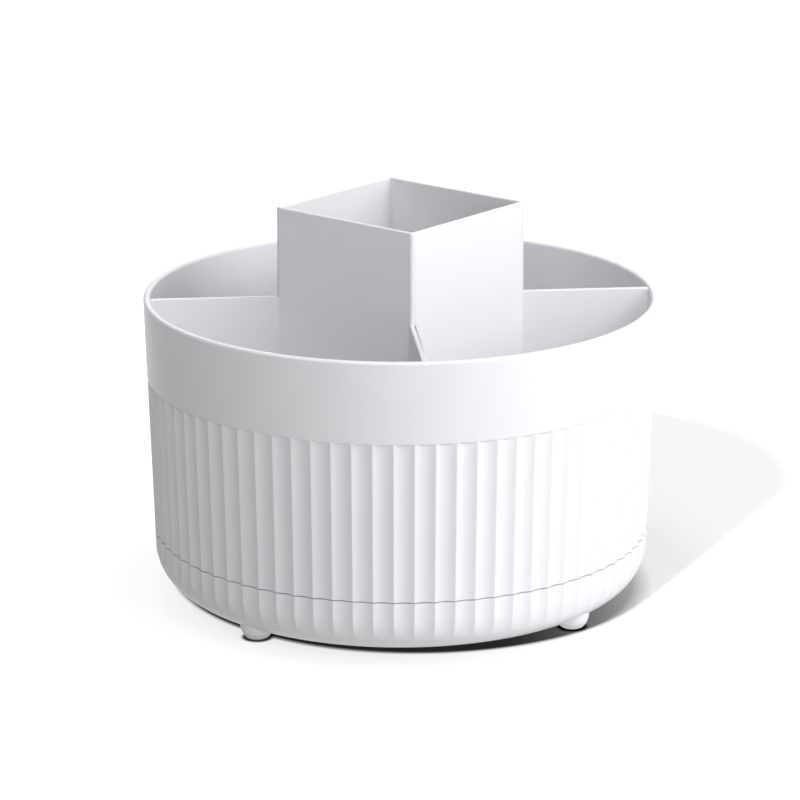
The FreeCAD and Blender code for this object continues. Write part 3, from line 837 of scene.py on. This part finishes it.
@dataclass
class Partition:
    """Square centre tube, open at both ends, and a fin from each of its corners."""

    finish: bpy.types.Material
    floor: float = 21.3
    fin_top: float = 88.3
    tube_top: float = 115.0
    half_top: float = 25.7
    draft: float = math.tan(math.radians(0.3))
    wall: float = 1.2
    corner: float = 1.2
    inner_corner: float = 0.35
    lip: float = 0.45
    lip_draw: float = 0.8  # share of the lip's inset by which the corner's radius shrinks
    fin_half: float = 0.9
    fin_edge: float = 0.3
    end_edge: float = 0.03
    root: float = 0.6
    away: float = 3.0  # distance from the fin at which the tube's flat face takes over
    end_gap: float = 2.04
    relief: float = 3.3
    foot_row: float = 0.004  # place of the row that keeps the light flat over the fins' tops

    def half(self, level: float) -> float:
        """Half the tube's outside across its flats at a level."""
        return self.half_top + (self.tube_top - level) * self.draft

    def fin_end(self, level: float) -> float:
        """Radius at which a fin ends, rounded off at the foot to clear the drum's inner corner.

        Args:
            level: height.

        Returns:
            The radius.
        """
        end = WALL.radius(level) - self.end_gap
        rise = level - self.floor
        if rise >= self.relief:
            return end
        return end - self.relief + math.sqrt(self.relief ** 2 - (self.relief - rise) ** 2)

    def low_quarter(self, level: float, inset: float) -> np.ndarray:
        """Outline round one corner with its fin, along the diagonal as x.

        It runs from the tube's face over a small root fillet out along the fin's side, round its end, and
        back.

        Args:
            level: height of the outline.
            inset: how far the fin's sides and end are drawn in.

        Returns:
            Array of 16 points.
        """
        side = self.fin_half - inset
        apex = self.half(level) * math.sqrt(2)
        end = self.fin_end(level) - inset
        upper = rounded_profile([
            (apex - side - self.away, side + self.away, 0), (apex - side, side, self.root),
            (end, side, self.end_edge), (end, 0.0, 0)], 3)[1:-1]
        mirror = upper[::-1] * np.array([1.0, -1.0])
        flat = np.vstack([mirror[::-1], upper[::-1]])
        return np.column_stack([flat, np.full(len(flat), level)])

    def high_quarter(self, level: float, inset: float, corner: float, spread: float) -> np.ndarray:
        """Outline round one corner above the fins, with as many points as the outline below.

        Args:
            level: height of the outline.
            inset: how far the faces are drawn in.
            corner: radius of the tube's corner.
            spread: distance of the first and last point from the diagonal.

        Returns:
            Array of 16 points: a few on each face, the rest round the corner.
        """
        half = self.half(level) - inset
        apex = half * math.sqrt(2)
        centre = apex - corner * math.sqrt(2)
        angles = np.linspace(-np.pi / 4, np.pi / 4, 10)
        arc = np.column_stack([centre + corner * np.cos(angles), corner * np.sin(angles)])
        sides = np.linspace(spread, corner * math.sin(math.pi / 4), 4)[:3]
        lower = np.column_stack([apex - sides, -sides])
        upper = np.column_stack([apex - sides[::-1], sides[::-1]])
        flat = np.vstack([lower, arc, upper])
        return np.column_stack([flat, np.full(len(flat), level)])

    def build(self) -> None:
        """Make the partition as one closed surface.

        Rows run up the outside with the fins, across the fins' tops to the tube's corners, up to the rounded
        lip, over it, down the inside, and back across the underside. Columns run round the four corners.
        """
        rows = []
        curve = np.linspace(0, np.pi / 2, 4)
        foot_levels = self.floor + self.relief * (1 - np.cos(np.linspace(0, np.pi / 2, 7)))
        for level in (*foot_levels, *(self.fin_top - self.fin_edge * (1 - np.sin(curve)))):
            inset = max(0.0, level - (self.fin_top - self.fin_edge))
            inset = self.fin_edge - math.sqrt(max(self.fin_edge ** 2 - inset ** 2, 0.0))
            rows.append(self.low_quarter(level, inset))
        spread = abs(rows[-1][0, 1])
        start = self.high_quarter(self.fin_top, 0.0, self.corner, spread)
        rows += [start + (rows[-1] - start) * self.foot_row, start]
        rows.append(self.high_quarter(self.tube_top - self.lip, 0.0, self.corner, spread))
        for angle in np.linspace(0, np.pi / 2, 5)[1:]:
            level = self.tube_top - self.lip * (1 - math.sin(angle))
            inset = self.lip * (1 - math.cos(angle))
            rows.append(self.high_quarter(level, inset, self.corner - inset * self.lip_draw, spread))
        for angle in np.linspace(np.pi / 2, 0, 5):
            level = self.tube_top - self.lip * (1 - math.sin(angle))
            inset = self.wall - self.lip * (1 - math.cos(angle))
            rows.append(self.high_quarter(level, inset, self.inner_corner, spread))
        rows.append(self.high_quarter(self.floor, self.wall, self.inner_corner, spread))
        ring = np.stack(rows)
        skin = Skin()
        skin.add_rings(np.concatenate([rotated(ring, 45 + 90 * k) for k in range(4)], axis=1), closed=True)
        settle(skin.build("partition"), Body.PARTITION, Slot.SHELL, self.finish, "centre_partition")


@dataclass
class Feet:
    """Four soft pads pegged under the base."""

    finish: bpy.types.Material
    height: float = 2.0
    peg: tuple[float, float] = (2.0, 3.6)
    hollow: tuple[float, float, float] = (1.2, 1.5, 0.3)

    def build(self) -> None:
        """Make one pad for each node: a dome that stands on a ring round a shallow hollow, and its peg."""
        levels = np.insert(self.height * np.linspace(0, 1, 12) ** 2, 11, self.height - FOOT.end_row)
        side = np.column_stack([FOOT.half(levels), levels])
        roof, mouth, depth = self.hollow
        under = rounded_profile([
            (POLE, depth, 0), (roof, depth, depth), (mouth, 0.0, depth / 2), (FOOT.flat, 0.0, 0)], 4)
        peg = rounded_profile([
            (self.peg[0], self.height, 0), (self.peg[0], self.peg[1], 0.3), (POLE, self.peg[1], 0)], 4)
        rings = lathe(np.vstack([under[:-1], side, peg]), FOOT.columns)
        for number in range(4):
            skin = Skin()
            skin.add_rings(rotated(rings + np.array([FOOT.circle, 0, 0]), number * 90))
            settle(skin.build(f"foot_{number + 1}"), Body.BASE, Slot.FOOT, self.finish,
                   f"foot_pad_{number + 1}")


@dataclass
class PivotScrew:
    """Pan-head screw under the hub, with a cross recess."""

    finish: bpy.types.Material
    head_low: float = 3.3
    head_high: float = 5.7
    head_radius: float = 4.0
    shank: float = 1.98
    tip: float = 16.7
    point: float = 1.2
    face: float = 3.2
    pole: float = 0.02
    recess_depth: float = 1.3
    arm_length: float = 2.2
    arm_half: float = 0.5
    end_slope: float = 0.4
    side_slope: float = 0.25

    def build(self) -> None:
        """Make the screw: a turned outline whose end face is pushed in where a cross lies over it.

        The push is depth * max over both arms of s((length - |u|) / end_slope) * s((half - |v|) / side_slope
        + 1), where s is a smooth step from 0 to 1 and u, v run along and across the arm.
        """
        face = np.column_stack([np.linspace(self.pole, self.face, 26), np.full(26, self.head_low)])
        rest = rounded_profile([
            (self.face, self.head_low, 0), (self.head_radius, self.head_low, 0.8),
            (self.head_radius, self.head_high, 0.1), (self.shank, self.head_high, 0.1),
            (self.shank, self.tip - self.point, 0.2), (self.pole, self.tip, 0)], 5)
        rings = lathe(np.vstack([face, rest[1:]]), 96)
        flat = rings[:len(face)]
        x, y = np.abs(flat[..., 0]), np.abs(flat[..., 1])

        def step(value: np.ndarray) -> np.ndarray:
            """Smooth step: 3v^2 - 2v^3 of the value clamped to 0..1."""
            v = np.clip(value, 0, 1)
            return v * v * (3 - 2 * v)

        arms = [step((self.arm_length - u) / self.end_slope)
                * step((self.arm_half - v) / self.side_slope + 1) for u, v in ((x, y), (y, x))]
        flat[..., 2] += self.recess_depth * np.maximum(*arms)
        skin = Skin()
        skin.add_rings(rings)
        settle(skin.build("screw"), Body.DRUM, Slot.SCREW, self.finish, "pivot_screw")


@dataclass
class Carried:
    """CAD nodes whose shape is right, which only get a finish."""

    finishes: dict[str, bpy.types.Material]

    def dress(self) -> None:
        """Assign each node's material by the start of its name."""
        for name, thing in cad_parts.items():
            for start, material in self.finishes.items():
                if name.startswith(start):
                    thing.data.materials.clear()
                    thing.data.materials.append(material)
                    log.info("%s keeps its shape, in %s", name, material.name)


class Reach(Enum):
    """What a light falls on."""

    OBJECT = "EXCLUDE"
    FLOOR = "INCLUDE"


@dataclass(frozen=True)
class Softbox:
    """Square area light that looks at the object and falls on it or on the floor alone."""

    name: str
    azimuth: float
    elevation: float
    power: float
    distance: float = 1.4
    size: float = 0.6
    reach: Reach = Reach.OBJECT
    aim: tuple[float, float, float] = (0.0, 0.0, 0.05)

    def build(self, floor: bpy.types.Object) -> None:
        """Make the light.

        It stands at azimuth and elevation degrees and a distance in metres from what it looks at. A
        collection that holds the floor tells it to leave the floor out or to fall on nothing else.

        Args:
            floor: the floor.
        """
        turn, rise = math.radians(self.azimuth), math.radians(self.elevation)
        away = Vector((math.cos(turn) * math.cos(rise), math.sin(turn) * math.cos(rise), math.sin(rise)))
        light = bpy.data.lights.new(self.name, "AREA")
        light.shape = "SQUARE"
        light.size = self.size
        light.energy = self.power
        thing = bpy.data.objects.new(self.name, light)
        bpy.context.scene.collection.objects.link(thing)
        thing.location = Vector(self.aim) + away * self.distance
        thing.rotation_euler = away.to_track_quat("Z", "Y").to_euler()
        receivers = bpy.data.collections.new(f"{self.name}_reach")
        receivers.objects.link(floor)
        receivers.collection_objects[0].light_linking.link_state = self.reach.value
        thing.light_linking.receiver_collection = receivers


@dataclass
class Studio:
    """Floor, world, lights and camera."""

    lights: tuple[Softbox, ...] = (
        Softbox("low_front", -50.0, 10.0, 3.2),
        Softbox("low_right", 10.0, 10.0, 1.0),
        Softbox("low_side", 30.0, 10.0, 0.9),
        Softbox("left", -140.0, 62.0, 1.9),
        Softbox("front", -50.0, 40.0, 5.3),
        Softbox("right", 10.0, 40.0, 8.2),
        Softbox("side", 30.0, 22.0, 4.6),
        Softbox("top", 0.0, 89.0, 4.0),
        Softbox("back", 130.0, 30.0, 2.6),
        Softbox("floor_key", -76.3, 36.6, 328.0, distance=8.0, size=0.4, reach=Reach.FLOOR),
    )
    # Painted bounce light: the floor's glow towards the object, though it is no lamp, weaker on the dark
    # side and stronger towards the bright side.
    painted_bounce: tuple[float, float] = (0.34, 0.74)
    bounce_azimuth: float = 40.0
    bounce_span: tuple[float, float] = (-0.06, 0.06)
    floor_half: float = 6.0
    floor_colour: tuple[float, float, float] = (0.9, 0.9, 0.9)
    # Centre and stops of the floor's glow by distance: white far off, dimmer near the pot as a painted halo
    # of shade, which also deepens the cast shadow close by.
    painted_halo_centre: tuple[float, float, float] = (0.003, -0.002, 0.0)
    glow_and_painted_halo_levels: tuple[tuple[float, float], ...] = (
        (0.058, 0.18), (0.0626, 0.28), (0.066, 0.39), (0.07, 0.475), (0.074, 0.55), (0.078, 0.59),
        (0.083, 0.61), (0.088, 0.65), (0.095, 0.71), (0.105, 0.78), (0.12, 0.84), (0.14, 0.87),
        (0.18, 0.91), (0.3, 0.96), (0.4, 1.0))
    # Painted contact shadow on the floor under the pot: a circle round shade_centre, cut to the base's edge,
    # darkest at the front and lifted towards the bright side by open_share.
    shade_centre: tuple[float, float, float] = (-0.0035, 0.0116, 0.0)
    shade_edge: tuple[float, float] = (0.0725, 0.0745)
    base_edge: tuple[float, float] = (0.069, 0.075)
    open_azimuth: float = 45.0
    open_span: tuple[float, float] = (0.02, 0.08)
    open_share: tuple[float, float] = (0.03, 0.73)
    # Painted shadow spot under each foot: its radii and its darkness.
    painted_foot_shadow_edge: tuple[float, float] = (0.0039, 0.0051)
    painted_foot_shadow: float = 0.04
    camera_place: tuple[float, float, float] = (0.59743201, -0.71630542, 0.33448568)
    camera_right: tuple[float, float, float] = (0.76797191, 0.64048268, -0.00104350)
    camera_up: tuple[float, float, float] = (-0.18261918, 0.22053087, 0.95813170)
    lens: float = 148.644
    sensor: float = 36.0

    def build(self) -> None:
        """Set up everything round the object."""
        self.make_world()
        floor = self.make_floor()
        for softbox in self.lights:
            softbox.build(floor)
        self.make_camera()
        bpy.context.scene.view_settings.view_transform = "Standard"

    @staticmethod
    def seen(graph: Graph) -> Wire:
        """Tell the rays that look from the rays that light.

        Args:
            graph: the node tree that asks.

        Returns:
            1 for rays from the camera, mirrors and glass, 0 for the others.
        """
        paths = graph.tree.nodes.new("ShaderNodeLightPath")
        camera, glossy, through = (Wire(graph, paths.outputs[name]) for name in
                                   ("Is Camera Ray", "Is Glossy Ray", "Is Transmission Ray"))
        return graph.least(camera + glossy + through, 1.0)

    def make_world(self) -> None:
        """White world as a backdrop that doesn't light the object."""
        world = bpy.data.worlds.new("studio")
        bpy.context.scene.world = world
        world.use_nodes = True
        graph = Graph(world.node_tree)
        light = graph.add("ShaderNodeBackground", {}, {"Color": WHITE, "Strength": self.seen(graph)})
        graph.add("ShaderNodeOutputWorld", {}, {"Surface": light})

    def clear_of_painted_shadow(self, graph: Graph, point: Wire) -> Wire:
        """How far the floor lies clear of the painted shadow under the pot.

        It is the open share where the base stands over the floor and the pot's close shade is painted on it,
        and 1 elsewhere. The open share rises with the square of the way to the bright side. The floor is
        painted darkest in a shadow spot under each foot.

        Args:
            graph: the floor's node tree.
            point: the place on the floor.

        Returns:
            The share, 0 to 1.
        """
        # Painted contact shadow: a soft circle round shade_centre, cut to the base's edge, lifted towards
        # the bright side.
        inside = graph.spread(graph.distance(point, self.shade_centre), 1.0, 0.0, *self.shade_edge)
        under = graph.spread(graph.distance(point, (0.0, 0.0, 0.0)), 1.0, 0.0, *self.base_edge)
        fade = graph.spread(graph.along(point, self.open_azimuth), 0.0, 1.0, *self.open_span)
        least, most = self.open_share
        clear = 1.0 - inside * under * (1.0 - (fade * fade * (most - least) + least))
        # A painted dark spot round each foot's place on the floor.
        reach = FOOT.circle * MM
        near, *others = (graph.distance(point, (x * reach, y * reach, 0.0))
                         for x, y in ((1, 0), (0, 1), (-1, 0), (0, -1)))
        for other in others:
            near = graph.least(near, other)
        return clear * graph.spread(near, self.painted_foot_shadow, 1.0, *self.painted_foot_shadow_edge)

    def floor_material(self) -> bpy.types.Material:
        """White with painted shade near the pot.

        To the camera, mirrors and glass the floor glows at a level that rises with the distance, a painted
        halo of shade round the pot, and the light that falls on it brings the rest, so the cast shadow stays
        pale.
        The glow and the floor's own colour both go dark under the pot, a painted contact shadow. To the
        object the floor, which is no lamp, glows with an even painted light that grows to the bright side.

        Returns:
            The material.
        """
        material = bpy.data.materials.new("floor")
        material.use_nodes = True
        graph = Graph(material.node_tree)
        seen = self.seen(graph)
        point = graph.object_point()
        reach = self.glow_and_painted_halo_levels[-1][0]
        # Stops of the glow by distance: white far off, a painted halo of shade near the pot.
        stops = [(radius / reach, (level, level, level, 1.0)) for radius, level in self.glow_and_painted_halo_levels]
        aside = graph.distance(point, self.painted_halo_centre) * (1.0 / reach)
        level = graph.add("ShaderNodeValToRGB", {"stops": stops}, {"Fac": aside})
        clear = self.clear_of_painted_shadow(graph, point)
        # Painted bounce light: the floor glows towards the object though it is no lamp.
        painted_bounce = graph.spread(graph.along(point, self.bounce_azimuth), *self.painted_bounce, *self.bounce_span)
        # To the camera: glow with the painted halo and painted contact shadow; to the object: the painted
        # bounce glow.
        glow = seen * level * clear + (1.0 - seen) * painted_bounce
        # The floor's own colour goes black in the painted shadow under the pot and the feet.
        colour = graph.blend(seen * clear, (0.0, 0.0, 0.0), self.floor_colour)
        diffuse = graph.add("ShaderNodeBsdfDiffuse", {}, {"Color": colour})
        light = graph.add("ShaderNodeEmission", {}, {"Color": glow})
        shader = graph.add("ShaderNodeAddShader", {}, {0: diffuse, 1: light})
        graph.add("ShaderNodeOutputMaterial", {}, {"Surface": shader})
        return material

    def make_floor(self) -> bpy.types.Object:
        """Make the floor, a square at the height of the feet.

        Returns:
            The floor.
        """
        half = self.floor_half
        mesh = bpy.data.meshes.new("floor")
        corners = [(-half, -half, 0.0), (half, -half, 0.0), (half, half, 0.0), (-half, half, 0.0)]
        mesh.from_pydata(corners, [], [(0, 1, 2, 3)])
        mesh.materials.append(self.floor_material())
        floor = bpy.data.objects.new("floor", mesh)
        bpy.context.scene.collection.objects.link(floor)
        return floor

    def make_camera(self) -> None:
        """Camera at the photograph's viewpoint, from its place, its axes and the angle of view."""
        data = bpy.data.cameras.new("camera")
        data.lens = self.lens
        data.sensor_width = self.sensor
        data.sensor_fit = "HORIZONTAL"
        data.clip_start = 0.05
        camera = bpy.data.objects.new("camera", data)
        bpy.context.scene.collection.objects.link(camera)
        right, up = Vector(self.camera_right), Vector(self.camera_up)
        turn = Matrix((right, up, right.cross(up))).transposed().to_4x4()
        camera.matrix_world = Matrix.Translation(Vector(self.camera_place)) @ turn
        bpy.context.scene.camera = camera


def main() -> None:
    """Build every piece, dress the rest, and set up the studio."""
    logging.basicConfig(level=logging.INFO, format="%(name)s: %(message)s")
    shell = MouldedPlastic("white_shell", (0.869, 0.873, 0.9)).make()
    Base(shell).build()
    Drum(shell).build()
    Partition(shell).build()
    Feet(SoftRubber("milky_rubber").make()).build()
    PivotScrew(TurnedSteel("zinc_plate", (0.6, 0.6, 0.6)).make()).build()
    race = TurnedSteel("race_steel", (0.62, 0.62, 0.63)).make()
    Carried({
        "lower_race": race,
        "upper_race": race,
        "retaining_washer": race,
        "bearing_ball": PolishedSteel("ball_steel").make(),
        "ball_cage": MouldedPlastic("grey_nylon", (0.2, 0.22, 0.25), roughness=0.55).make(),
        "pivot_bush": MouldedPlastic("natural_acetal", (0.75, 0.74, 0.7), roughness=0.45).make(),
    }).dress()
    Studio().build()


if __name__ == "__main__":
    main()
